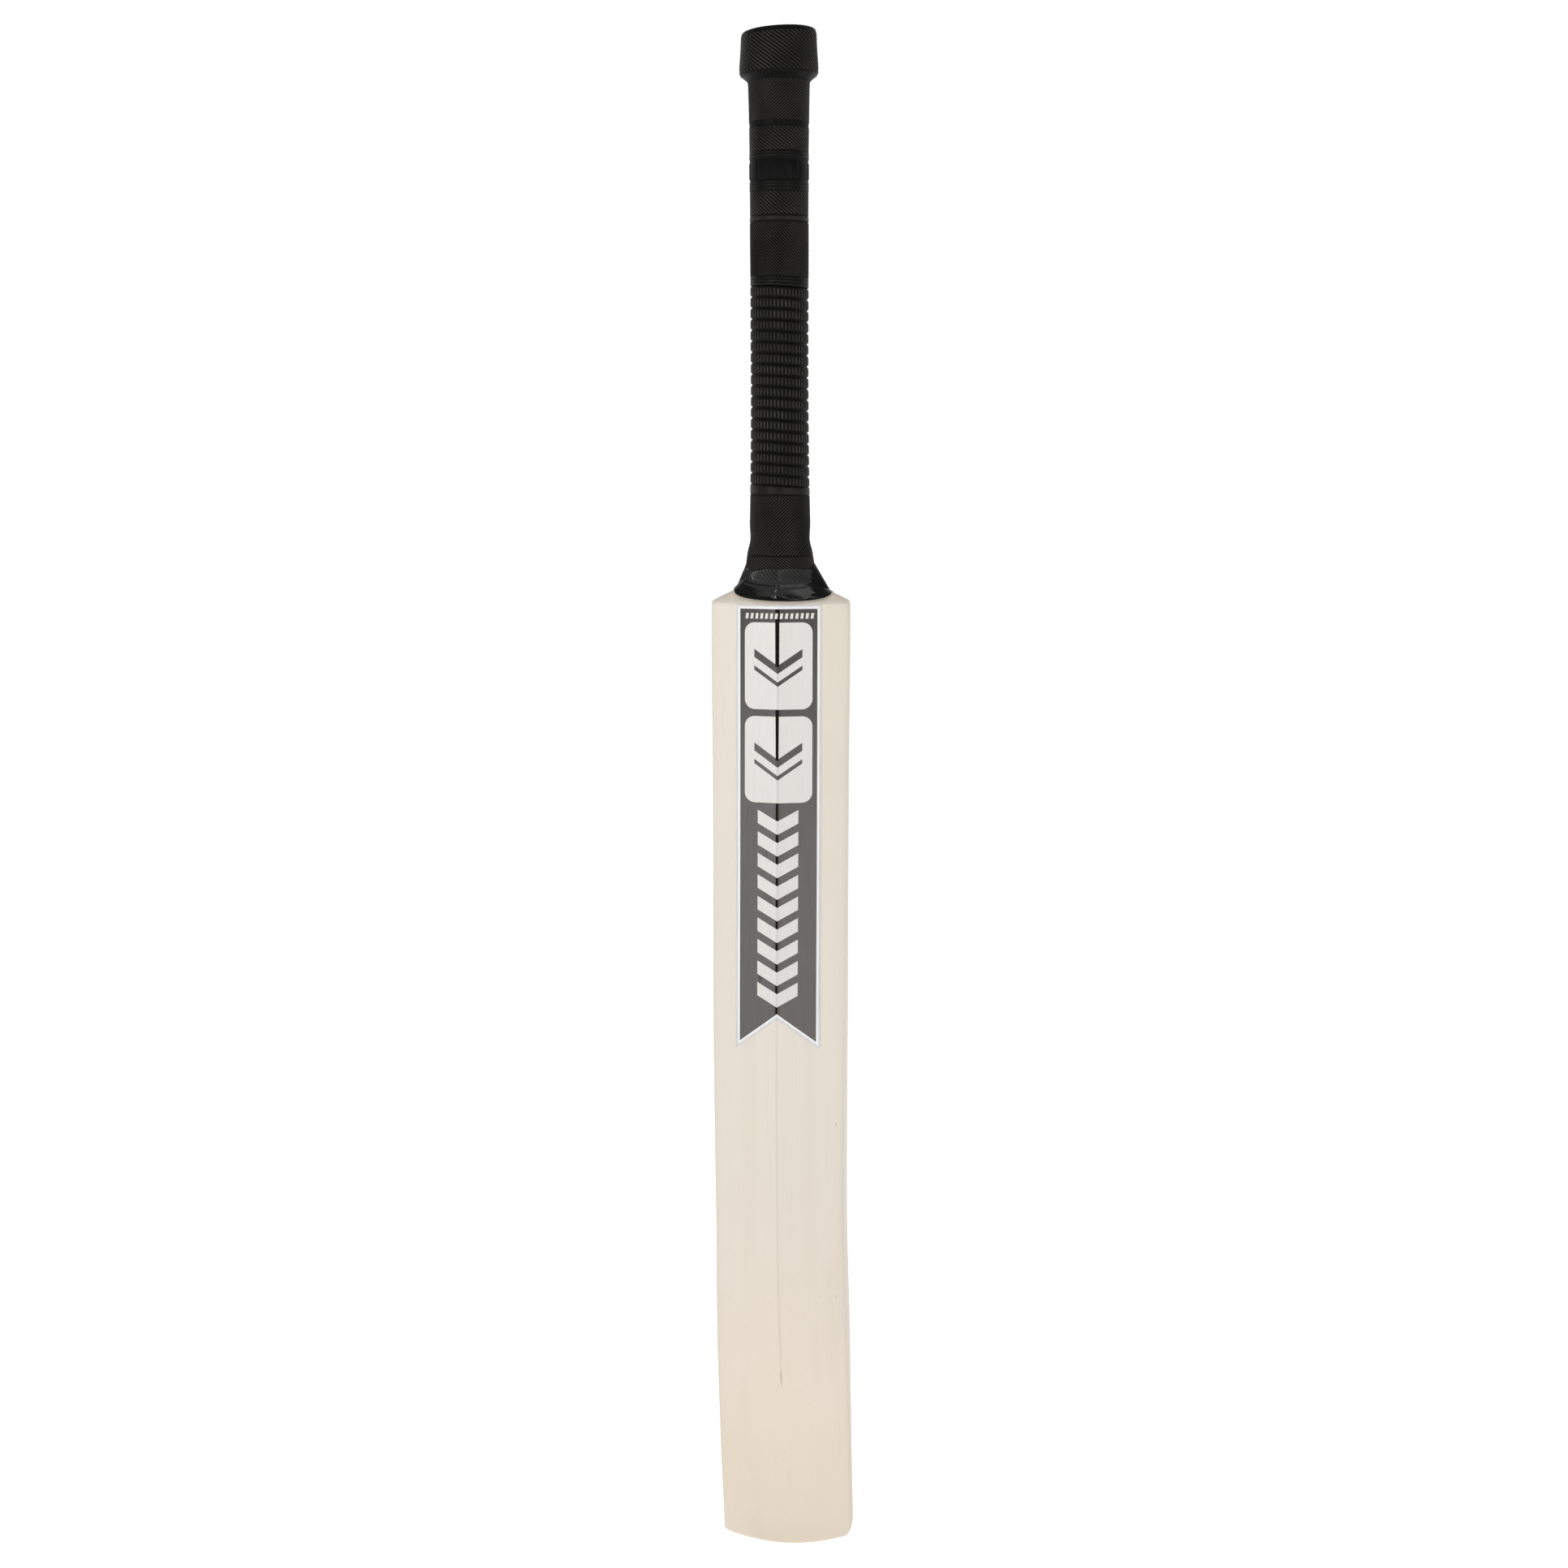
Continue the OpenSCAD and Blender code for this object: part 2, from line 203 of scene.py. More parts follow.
class Nodes:
    """A small wrapper that keeps material code short."""

    def __init__(self, name):
        self.material = bpy.data.materials.new(name)
        self.material.use_nodes = True
        self.tree = self.material.node_tree
        self.tree.nodes.clear()
        self.out = self.tree.nodes.new("ShaderNodeOutputMaterial")
        self.shader = self.tree.nodes.new("ShaderNodeBsdfPrincipled")
        self.link(self.shader.outputs[0], self.out.inputs[0])
        self.coords = self.tree.nodes.new("ShaderNodeTexCoord").outputs["Object"]

    def link(self, a, b):
        self.tree.links.new(a, b)

    def set(self, socket, value):
        if isinstance(value, (int, float, tuple, list)):
            socket.default_value = value
        else:
            self.link(value, socket)

    def mapped(self, scale, rotation=(0, 0, 0), location=(0, 0, 0)):
        m = self.tree.nodes.new("ShaderNodeMapping")
        m.inputs["Scale"].default_value = scale
        m.inputs["Rotation"].default_value = rotation
        m.inputs["Location"].default_value = location
        self.link(self.coords, m.inputs["Vector"])
        return m.outputs[0]

    def noise(self, vector, scale, detail=2.0, rough=0.5, distortion=0.0):
        t = self.tree.nodes.new("ShaderNodeTexNoise")
        self.link(vector, t.inputs["Vector"])
        t.inputs["Scale"].default_value = scale
        t.inputs["Detail"].default_value = detail
        t.inputs["Roughness"].default_value = rough
        t.inputs["Distortion"].default_value = distortion
        return t.outputs["Fac"]

    def voronoi(self, vector, scale):
        t = self.tree.nodes.new("ShaderNodeTexVoronoi")
        self.link(vector, t.inputs["Vector"])
        t.inputs["Scale"].default_value = scale
        return t.outputs["Distance"]

    def ramp(self, value, stops):
        r = self.tree.nodes.new("ShaderNodeValToRGB")
        e = r.color_ramp.elements
        while len(e) < len(stops):
            e.new(0.5)
        for k, (pos, colour) in zip(e, stops):
            k.position = pos
            k.color = colour if len(colour) == 4 else (*colour, 1)
        self.link(value, r.inputs[0])
        return r.outputs[0]

    def math(self, op, a, b=0.0):
        m = self.tree.nodes.new("ShaderNodeMath")
        m.operation = op
        self.set(m.inputs[0], a)
        self.set(m.inputs[1], b)
        return m.outputs[0]

    def span(self, value, a, b, c=0.0, d=1.0):
        m = self.tree.nodes.new("ShaderNodeMapRange")
        m.interpolation_type = "SMOOTHSTEP"
        self.set(m.inputs["Value"], value)
        for key, v in zip(("From Min", "From Max", "To Min", "To Max"), (a, b, c, d)):
            m.inputs[key].default_value = v
        return m.outputs[0]

    def blend(self, fac, a, b, mode="MIX"):
        m = self.tree.nodes.new("ShaderNodeMix")
        m.data_type = "RGBA"
        m.blend_type = mode
        self.set(m.inputs["Factor"], fac)
        self.set(m.inputs[6], (*a, 1) if isinstance(a, tuple) and len(a) == 3 else a)
        self.set(m.inputs[7], (*b, 1) if isinstance(b, tuple) and len(b) == 3 else b)
        return m.outputs[2]

    def relief(self):
        a = self.tree.nodes.new("ShaderNodeAttribute")
        a.attribute_name = "relief"
        return a.outputs["Fac"]

    def axes(self):
        s = self.tree.nodes.new("ShaderNodeSeparateXYZ")
        self.link(self.coords, s.inputs[0])
        return s.outputs[0], s.outputs[1], s.outputs[2]

    def bump(self, height, strength, distance, under=None):
        b = self.tree.nodes.new("ShaderNodeBump")
        b.inputs["Strength"].default_value = strength
        b.inputs["Distance"].default_value = distance
        self.link(height, b.inputs["Height"])
        if under is not None:
            self.link(under, b.inputs["Normal"])
        return b.outputs[0]

    def finish(self, colour=None, rough=None, normal=None, **sockets):
        s = self.shader.inputs
        if colour is not None:
            self.set(s["Base Color"], (*colour, 1) if isinstance(colour, tuple) else colour)
        if rough is not None:
            self.set(s["Roughness"], rough)
        if normal is not None:
            self.link(normal, s["Normal"])
        for key, value in sockets.items():
            s[key.replace("_", " ")].default_value = value
        return self.material


# ---------------------------------------------------------------- materials


def willow_material():
    n = Nodes("willow")
    x, _, z = n.axes()
    fibre = n.noise(n.mapped((1, 1, 0.012)), 900, 3, 0.6)
    growth = n.noise(n.mapped((1, 0.35, 0.02), location=(0.3, 0, 0)), 95, 2, 0.5, 0.3)
    cloud = n.noise(n.mapped((1, 1, 0.4)), 14, 3, 0.5)
    pale = (0.700, 0.650, 0.580)
    warm = (0.680, 0.596, 0.497)
    base = n.blend(n.span(z, 0.34, 0.02), pale, warm)
    # Painted shade: the right half of the upper blade darker and yellower
    side = n.math("MULTIPLY", n.span(x, -0.004, 0.030), n.span(z, 0.30, 0.50))
    base = n.blend(n.math("MULTIPLY", side, 0.7), base, (0.652, 0.595, 0.488))
    base = n.blend(n.span(cloud, 0.35, 0.7, 0.0, 0.35), base, (0.720, 0.668, 0.592))
    # Painted shade: the wood darker from just below the shoulders upward, on the shoulders' tops
    base = n.blend(n.span(z, 0.5565, 0.5600, 0.0, 0.7), base, (0.590, 0.510, 0.420))
    base = n.blend(n.span(growth, 0.52, 0.66, 0.0, 0.20), base, (0.620, 0.550, 0.455))
    base = n.blend(n.span(fibre, 0.55, 0.78, 0.0, 0.22), base, (0.570, 0.500, 0.410))
    flecks = n.voronoi(n.mapped((1, 1, 0.18)), 260)
    gate = n.span(n.noise(n.coords, 60, 1), 0.60, 0.68)
    fleck = n.math("MULTIPLY", n.span(flecks, 0.10, 0.04), gate)
    base = n.blend(n.math("MULTIPLY", fleck, 0.5), base, (0.34, 0.27, 0.20))
    off_ridge = n.math("ABSOLUTE", n.math("ADD", x, n.math("MULTIPLY", growth, 0.0003)))
    on_back = n.span(n.relief(), 0.6, 0.9)
    along = n.math("MULTIPLY", n.span(z, 0.113, 0.130), n.span(z, 0.36, 0.31))
    along = n.math("MULTIPLY", along, on_back)
    ridge = n.math("MULTIPLY", n.span(off_ridge, 0.0009, 0.0003), along)
    base = n.blend(n.math("MULTIPLY", ridge, 0.22), base, (0.42, 0.36, 0.28))
    taper = n.math("MULTIPLY", n.span(z, 0.107, 0.114), n.span(z, 0.123, 0.115))
    taper = n.math("MULTIPLY", taper, on_back)
    split = n.math("MULTIPLY", n.span(off_ridge, 0.0005, 0.0002), taper)
    base = n.blend(n.math("MULTIPLY", split, 0.6), base, (0.20, 0.155, 0.12))
    rough = n.span(fibre, 0.2, 0.8, 0.50, 0.62)
    height = n.math("ADD", n.math("MULTIPLY", fibre, 0.6), n.math("MULTIPLY", cloud, 0.4))
    normal = n.bump(height, 0.22, 0.0003)
    return n.finish(base, rough, normal, Specular_IOR_Level=0.32)


def cane_material(seed):
    n = Nodes(f"cane_{seed}")
    fibre = n.noise(n.mapped((1, 1, 0.010), location=(seed * 0.37, 0, 0)), 1500, 2, 0.6)
    cloud = n.noise(n.mapped((1, 1, 0.2), location=(0, seed * 0.21, 0)), 40, 2)
    base = n.blend(n.span(fibre, 0.35, 0.72), (0.670, 0.612, 0.530), (0.610, 0.545, 0.458))
    base = n.blend(n.span(cloud, 0.4, 0.7, 0.0, 0.4), base, (0.690, 0.635, 0.555))
    normal = n.bump(fibre, 0.15, 0.0002)
    return n.finish(base, n.span(fibre, 0.2, 0.8, 0.50, 0.62), normal, Specular_IOR_Level=0.32)


def spring_material():
    n = Nodes("spring_rubber")
    speck = n.noise(n.coords, 2600, 2)
    cloud = n.noise(n.coords, 120, 2)
    base = n.blend(n.span(cloud, 0.35, 0.7), (0.36, 0.27, 0.18), (0.44, 0.34, 0.24))
    return n.finish(base, n.span(speck, 0.2, 0.8, 0.6, 0.8), n.bump(speck, 0.3, 0.0002),
                    Specular_IOR_Level=0.3)


def twine_material():
    n = Nodes("twine")
    strand = n.noise(n.mapped((1, 1, 6), rotation=(0.5, 0, 0)), 900, 2)
    cloud = n.noise(n.coords, 90, 2)
    base = n.blend(n.span(strand, 0.35, 0.7), (0.50, 0.43, 0.31), (0.34, 0.28, 0.19))
    base = n.blend(n.span(cloud, 0.4, 0.7, 0.0, 0.5), base, (0.58, 0.51, 0.39))
    return n.finish(base, 0.75, n.bump(strand, 0.5, 0.0004), Specular_IOR_Level=0.25)


def grip_material():
    n = Nodes("grip_rubber")
    crest = n.relief()
    grain = n.noise(n.coords, 2400, 3, 0.6)
    patch = n.noise(n.mapped((1, 1, 0.6)), 70, 3, 0.5)
    dust = n.noise(n.coords, 420, 3, 0.6)
    # Painted shade in the grooves and painted highlight on the crests, the crests' tone patchy at
    # random
    patchy_crest_highlight = n.blend(n.span(patch, 0.35, 0.7), (0.0160, 0.0148, 0.0128), (0.0440, 0.0402, 0.0342))
    base = n.blend(n.span(crest, 0.48, 1.0), (0.0010, 0.0009, 0.0008), patchy_crest_highlight)
    base = n.blend(n.span(dust, 0.60, 0.80, 0.0, 0.30), base, (0.024, 0.0215, 0.018))
    rough = n.math("ADD", n.span(patch, 0.3, 0.7, 0.30, 0.44), n.span(crest, 0.2, 0.9, 0.22, 0.0))
    return n.finish(base, rough, n.bump(grain, 0.15, 0.0002), Specular_IOR_Level=0.10)


def tape_material():
    n = Nodes("tape")
    crest = n.relief()
    fold = n.noise(n.mapped((0.6, 0.6, 2.4), rotation=(0, 0.25, 0)), 85, 1.5, 0.45, 0.4)
    fine = n.noise(n.coords, 900, 2)
    base = n.blend(n.span(fold, 0.35, 0.7), (0.0008, 0.0008, 0.0008), (0.0022, 0.0021, 0.0020))
    # Painted highlight on the grip's ridges that show through the tape
    base = n.blend(n.span(crest, 0.30, 0.95, 0.0, 0.8), base, (0.0100, 0.0093, 0.0083))
    normal = n.bump(fold, 0.42, 0.0010, n.bump(fine, 0.06, 0.0002))
    return n.finish(base, n.span(fold, 0.3, 0.7, 0.10, 0.18), normal, Specular_IOR_Level=0.27)


def border_material():
    n = Nodes("label_silver")
    grain = n.noise(n.mapped((1, 1, 0.1)), 700, 2)
    base = n.blend(n.span(grain, 0.3, 0.7), (0.53, 0.545, 0.56), (0.60, 0.61, 0.62))
    return n.finish(base, n.span(grain, 0.3, 0.7, 0.30, 0.42), n.bump(grain, 0.08, 0.0002),
                    Specular_IOR_Level=0.5)


def white_material():
    n = Nodes("label_white")
    x, _, _ = n.axes()
    grain = n.noise(n.mapped((1, 1, 0.1)), 600, 2)
    wave = n.noise(n.mapped((1, 1, 0.5)), 50, 2)
    base = n.blend(n.span(grain, 0.3, 0.7), (0.640, 0.622, 0.600), (0.665, 0.648, 0.625))
    # Painted dark reflection along the ridge
    ridge_reflection_on_white = n.span(n.math("ABSOLUTE", x), 0.0011, 0.0004, 0.0, 0.30)
    base = n.blend(ridge_reflection_on_white, base, (0.42, 0.41, 0.40))
    return n.finish(base, 0.34, n.bump(wave, 0.10, 0.0006), Specular_IOR_Level=0.45)


def bright_material():
    n = Nodes("label_bright")
    grain = n.noise(n.mapped((1, 1, 0.1)), 700, 2)
    base = n.blend(n.span(grain, 0.3, 0.7), (0.74, 0.745, 0.75), (0.78, 0.785, 0.79))
    return n.finish(base, 0.35, n.bump(grain, 0.05, 0.0002), Specular_IOR_Level=0.4)


# Near-black film laid along the ridge as a painted dark reflection
def ridge_reflection_material():
    n = Nodes("label_ridge_reflection")
    grain = n.noise(n.mapped((1, 1, 0.05)), 900, 2)
    base = n.blend(n.span(grain, 0.35, 0.75), (0.0022, 0.0020, 0.0019), (0.0090, 0.0082, 0.0078))
    return n.finish(base, n.span(grain, 0.3, 0.7, 0.55, 0.7), n.bump(grain, 0.1, 0.0002),
                    Specular_IOR_Level=0.06)


def panel_material():
    n = Nodes("label_panel")
    x, _, z = n.axes()
    grain = n.noise(n.mapped((1, 1, 0.03)), 800, 2)
    wave = n.noise(n.mapped((1, 1, 0.35)), 60, 2)
    # Painted reflection: each half of the panel darker at the top and lighter lower down, the right
    # half a little lighter
    left = n.blend(n.span(z, 0.555, 0.44), (0.040, 0.036, 0.033), (0.105, 0.101, 0.097))
    right = n.blend(n.span(z, 0.555, 0.40), (0.046, 0.040, 0.036), (0.118, 0.107, 0.100))
    base = n.blend(n.span(x, -0.001, 0.001), left, right)
    base = n.blend(n.span(grain, 0.40, 0.75, 0.0, 0.35), base, (0.075, 0.071, 0.068))
    # Painted dark reflection near the ridge
    near = n.span(n.math("ABSOLUTE", n.math("ADD", x, 0.0002)), 0.0030, 0.0010, 0.0, 0.35)
    base = n.blend(near, base, (0.030, 0.028, 0.026))
    scratch = n.noise(n.mapped((1, 1, 0.07), rotation=(0, 0.03, 0)), 900, 4, 0.7)
    zone = n.math("MULTIPLY", n.span(n.math("ABSOLUTE", n.math("ADD", x, 0.008)), 0.007, 0.004),
                  n.span(n.noise(n.coords, 45, 2), 0.55, 0.62))
    scratch = n.math("MULTIPLY", n.span(scratch, 0.60, 0.66), zone)
    base = n.blend(n.math("MULTIPLY", scratch, 0.75), base, (0.010, 0.009, 0.008))
    rough = n.span(wave, 0.3, 0.7, 0.26, 0.38)
    return n.finish(base, rough, n.bump(wave, 0.12, 0.0006), Specular_IOR_Level=0.30)


WILLOW = willow_material()
SPRING = spring_material()
TWINE_LOOK = twine_material()
GRIP = grip_material()
TAPE = tape_material()
SILVER = border_material()
BRIGHT = bright_material()
WHITE = white_material()
PANEL = panel_material()
RIDGE_REFLECTION = ridge_reflection_material()

# ---------------------------------------------------------------- blade

SPLICE_LOW = SHOULDER - 165
SPLICE_TIP = 2.0  # half-width of the splice at its lower end
TOE_RISE = 7.0  # the toe's corners above its lowest point
TOE_LEVEL = 24  # height where the rows have become level
BEVEL_LEFT, BEVEL_RIGHT = 0.7, 3.4  # extra rise right at each corner
TOE_ROUND = 1.6  # how far the toe's lowest edge draws in
TOE_ROUND_TOP = 2  # height where that rounding ends


def splice_half(z):
    if z <= SPLICE_LOW:
        return SPLICE_TIP
    return mix(SPLICE_TIP, CANE_R, min((z - SPLICE_LOW) / (SHOULDER - SPLICE_LOW), 1.0))


def ridge_softness(z):
    return mix(1.1, 0.08, smooth_step(372, 388, z)) * mix(3.0, 1.0, smooth_step(70, 130, z))


def blade_heights():
    """(height, toe factor) rows; the factor follows the curved toe at 1 and is level at 0."""
    toe = [0, 0.15, 0.4, 0.75, 1.2, TOE_ROUND_TOP, 4, 6, 9, 13, 18, TOE_LEVEL]
    rows = [(h, 1 - h / TOE_LEVEL) for h in toe]
    step = 3.0
    z = TOE_LEVEL + step
    while z < SHOULDER - 12:
        rows.append((z, 0.0))
        z += step
    rows += [(SPLICE_LOW, 0.0)]
    rows += [(SHOULDER - 12 + 1.5 * i, 0.0) for i in range(6)]
    rows += [(SHOULDER - 3.2 + 0.3 * i, 0.0) for i in range(14)]
    rows += [(SHOULDER + 1.1 + 0.55 * i, 0.0) for i in range(14)]
    rows += [(SHOULDER + 9 + 1.5 * i, 0.0) for i in range(17)]
    return sorted(set(rows))


def toe_height(u, h, factor):
    """Curved lower edge with its right corner bevelled, blending to level rows."""
    bevel = BEVEL_RIGHT if u > 0 else BEVEL_LEFT
    corner = bevel * (max(abs(u) - 0.93, 0.0) / 0.07) ** 1.3
    return h + (TOE_RISE * u * u + corner) * factor


def toe_inset(h):
    if h >= TOE_ROUND_TOP:
        return 0.0
    return TOE_ROUND * (1 - math.sqrt(1 - (1 - h / TOE_ROUND_TOP) ** 2))


def build_blade():
    steps = [0.0, 0.04, 0.1, 0.18, 0.28, 0.39, 0.5, 0.61, 0.71, 0.79, 0.85, 0.895, 0.925, 0.947,
             0.963, 0.976, 0.986, 0.993, 1.0]
    rows = blade_heights()
    verts, faces, index = [], [], {}

    def point(side, row, u):
        h, factor = rows[row]
        z = toe_height(u, h, factor)
        inset = toe_inset(h) if factor > 0 else 0.0
        x = u * (half_width(z) - inset)
        if side == "face":
            y = face_y(u, z, -inset)
        else:
            y = back_y(u, z, -inset, ridge_softness(z))
        key = (side, row, round(u, 6))
        if key not in index:
            index[key] = len(verts)
            verts.append((x, y, z, 0.0 if side == "face" else 1.0))
        return index[key]

    def columns(row):
        """Fractions of the half-width: across the core, then from the splice's side to the edge."""
        h = rows[row][0]
        start = splice_half(h) / half_width(h)
        core = [0.0, start * 0.25, start * 0.5, start * 0.75]
        return core, [start + (1 - start) * s for s in steps]

    for j in range(len(rows) - 1):
        core_a, right_a = columns(j)
        core_b, right_b = columns(j + 1)
        open_here = rows[j][0] >= SPLICE_LOW
        for mirror in (1, -1):
            full_a = [mirror * u for u in (([] if open_here else core_a) + right_a)]
            full_b = [mirror * u for u in (([] if open_here else core_b) + right_b)]
            for side in ("face", "back"):
                a = [point(side, j, u) for u in full_a]
                b = [point(side, j + 1, u) for u in full_b]
                for i in range(len(a) - 1):
                    faces.append((a[i], a[i + 1], b[i + 1], b[i]))
            ends = [(full_a[-1], full_b[-1])]
            if open_here:
                ends.append((full_a[0], full_b[0]))
            for ua, ub in ends:
                faces.append((point("back", j, ua), point("face", j, ua),
                              point("face", j + 1, ub), point("back", j + 1, ub)))

    def cap(row, us):
        """Closes the blade between its back and its face along one row."""
        for a, b in zip(us, us[1:]):
            faces.append((point("back", row, a), point("back", row, b),
                          point("face", row, b), point("face", row, a)))

    core, right = columns(0)
    for mirror in (1, -1):
        cap(0, [mirror * u for u in core + right])
    last = len(rows) - 1
    core, right = columns(last)
    for mirror in (1, -1):
        cap(last, [mirror * u for u in right])
    low = [k for k, r in enumerate(rows) if r[0] == SPLICE_LOW][0]
    core, right = columns(low)
    cap(low, [-u for u in reversed(core[1:] + right[:1])] + core + right[:1])
    return make_object("blade_willow", verts, faces, WILLOW, 28)


blade = build_blade()
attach(blade, "root")
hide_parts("blade")

# ---------------------------------------------------------------- cane handle, springs, binding

for number in range(1, 13):
    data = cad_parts[f"cane_strip_{number}"].data
    data.materials.clear()
    data.materials.append(cane_material(number))
for number in range(1, 4):
    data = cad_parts[f"rubber_spring_{number}"].data
    data.materials.clear()
    data.materials.append(SPRING)


def build_binding():
    """Twine wound round the cane, one turn beside the next."""
    pitch, sides, per_turn = 1.2, 40, 4
    low, high = binding_low.z / MM, binding_high.z / MM
    turns = int((high - low) / pitch)
    verts, faces = [], []
    count = turns * per_turn
    for j in range(count + 1):
        for i in range(sides):
            t = i / sides
            phase = (j / per_turn - t) % 1.0
            r = CANE_R + 0.1 + 0.68 * math.sin(math.pi * phase) ** 0.7
            z = low + (high - low) * j / count
            a = 2 * math.pi * t
            verts.append((r * math.cos(a), r * math.sin(a), z))
    for j in range(count):
        for i in range(sides):
            k = (i + 1) % sides
            a, b = j * sides, (j + 1) * sides
            faces.append((a + i, a + k, b + k, b + i))
    base = len(verts)
    for z in (low, high):
        for i in range(sides):
            a = 2 * math.pi * i / sides
            verts.append((CANE_R * math.cos(a), CANE_R * math.sin(a), z))
    for i in range(sides):
        k = (i + 1) % sides
        top = count * sides
        faces.append((base + i, base + k, k, i))
        faces.append((top + i, top + k, base + sides + k, base + sides + i))
        faces.append((base + k, base + i, base + sides + i, base + sides + k))
    return make_object("binding_twine", verts, faces, TWINE_LOOK, 60)


binding = build_binding()
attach(binding, "root")
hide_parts("handle_binding")

# ---------------------------------------------------------------- grip

AROUND = 336  # points to a row, a multiple of every band's columns to a ridge
WALL = 1.5
GRIP_DROP, TAPE_DROP = 2.0, 5.6  # how far each lower edge sags at the centre line
TILE_COLUMNS = 28

# Bands down the grip: start and end below the top, kind, lean of the ridges (a positive lean
# rises to the right, seen from the back), height of the pattern, columns of points to a ridge
BANDS = [
    (2.2, 22.9, "ridge", -1.35, 0.36, 7),
    (22.9, 26.4, "plain", 0, 0, 7),
    (26.4, 48.4, "ridge", 1.15, 0.28, 6),
    (48.4, 50.8, "line", 0, 0.12, 6),
    (50.8, 63.9, "ridge", -1.3, 0.26, 8),
    (63.9, 67.7, "rims", 0, 0.22, 8),
    (67.7, 79.3, "tiles", 0, 0.36, 8),
    (79.3, 84.3, "rims", 0, 0.22, 8),
    (84.3, 97.2, "ridge", -1.2, 0.28, 8),
    (97.2, 100.3, "ring", 0, 0.28, 8),
    (100.3, 129.4, "ridge", -1.0, 0.46, 6),
    (129.4, 134.4, "rims", 0, 0.22, 6),
    (134.4, 240.6, "ribs", 0, 0.34, 7),
    (240.6, 245.4, "ring", 0, 0.30, 6),
    (245.4, 277.4, "ridge", 1.1, 0.44, 6),
    (277.4, 290.0, "ridge", -1.2, 0.36, 6),
]
BARE = [
    (0.0, 18.2), (0.35, 19.1), (0.9, 19.7), (2.2, 20.05), (9, 20.3), (19, 21.0), (21.8, 21.0),
    (23.4, 20.6), (24.9, 18.7), (26.2, 16.9), (27.4, 16.4), (40, 16.1), (65, 15.75), (100, 15.6),
    (129, 15.5), (180, 15.4), (205, 15.45), (240, 15.85), (262, 16.3),
]
BANDS_END = BANDS[-1][1]
RIB_BAND = [band for band in BANDS if band[2] == "ribs"][0]
RIB_COUNT = 18
RIB_PITCH = (RIB_BAND[1] - RIB_BAND[0]) / RIB_COUNT


def bare_radius(t):
    for (t0, r0), (t1, r1) in zip(BARE, BARE[1:]):
        if t <= t1:
            return mix(r0, r1, max(t - t0, 0.0) / (t1 - t0))
    return BARE[-1][1]


def grip_rows():
    """Heights below the top where a row of points goes, denser where the pattern changes."""
    ts = [0.0, 0.35, 0.9, 1.6, 2.2]
    for t0, t1, kind, lean, high, per in BANDS:
        if kind == "ridge":
            count = max(int((t1 - t0) / 2.4), 3)
            ts += [t0 + 0.25, t0 + 0.7]
            ts += [mix(t0 + 0.7, t1 - 0.7, k / count) for k in range(1, count + 1)]
            ts += [t1 - 0.25]
        elif kind == "ribs":
            k = 0
            while t0 + k * RIB_PITCH < t1 - 0.1:
                base = t0 + k * RIB_PITCH
                ts += [base + s for s in (0, 0.45, 0.85, 1.6, 2.9, 4.95, 5.45)]
                k += 1
        elif kind == "plain":
            ts += [t0 + 0.45 * k for k in range(int((t1 - t0) / 0.45))]
        elif kind == "tiles":
            ts += [t0 + s for s in (0, 0.6, 1.2, 1.7, 2.2, 5.8, 9.6, 10.1, 10.6, 11.1)]
        else:
            ts += [t0 + 0.6 * k for k in range(int((t1 - t0) / 0.6) + 1)]
    ts = sorted(t for t in set(round(t, 3) for t in ts) if t < BANDS_END)
    return [t for k, t in enumerate(ts) if k == 0 or t - ts[k - 1] > 0.12]


def band_at(t):
    for band in BANDS:
        if band[0] <= t < band[1]:
            return band
    return (t, t, "plain", 0, 0, 6)


def pattern(t, column):
    """How far the pattern stands out of the bare surface, and how near a crest the point is."""
    t0, t1, kind, _, high, per = band_at(t)
    edge = smooth_step(0.0, 0.7, min(t - t0, t1 - t))
    wave = 0.5 + 0.5 * math.cos(2 * math.pi * (column % per) / per)
    if kind == "ridge":
        fade = 1 - 0.5 * smooth_step(BANDS_END - 8, BANDS_END, t)
        return high * (wave - 0.35) * edge * fade, wave * edge
    if kind == "ribs":
        s = (t - t0) % RIB_PITCH
        top = smooth_step(0.1, 0.8, s) * (1 - smooth_step(RIB_PITCH - 0.9, RIB_PITCH - 0.2, s))
        fall = smooth_step(0.4, 2.2, s) * (1 - smooth_step(4.6, 5.8, s))
        tick = 0.3 + 0.7 * fall
        rib = -0.55 * (1 - top) + 0.12 * top + high * (wave - 0.5) * tick * top
        return rib, top * (0.25 + 0.75 * wave * tick)
    if kind == "rims":
        bead = math.sin(math.pi * (t - t0) / 1.65) ** 2
        return high * bead * edge + 0.1, 0.25 + 0.5 * bead * edge
    if kind == "ring":
        return high * edge, 0.2 + 0.5 * edge
    if kind == "line":
        return -high * edge, 0.35
    if kind == "tiles":
        s = column % TILE_COLUMNS
        across = smooth_step(1.0, 3.2, s) * (1 - smooth_step(23.6, 26.0, s))
        down = smooth_step(1.2, 2.2, t - t0) * (1 - smooth_step(9.6, 10.6, t - t0))
        return high * across * down - 0.05, 0.15 + 0.35 * across * down
    return 0.0, 0.45


def lean_at(t):
    return band_at(t)[3]


def twist_table(ts):
    """Turn of each row, so that columns run along the ridges."""
    turn, out, last = 0.0, [], ts[0]
    for t in ts:
        steps = 8
        for k in range(steps):
            s = mix(last, t, (k + 0.5) / steps)
            turn -= lean_at(s) * (t - last) / steps / max(bare_radius(s), 15.5)
        out.append(turn)
        last = t
    return out


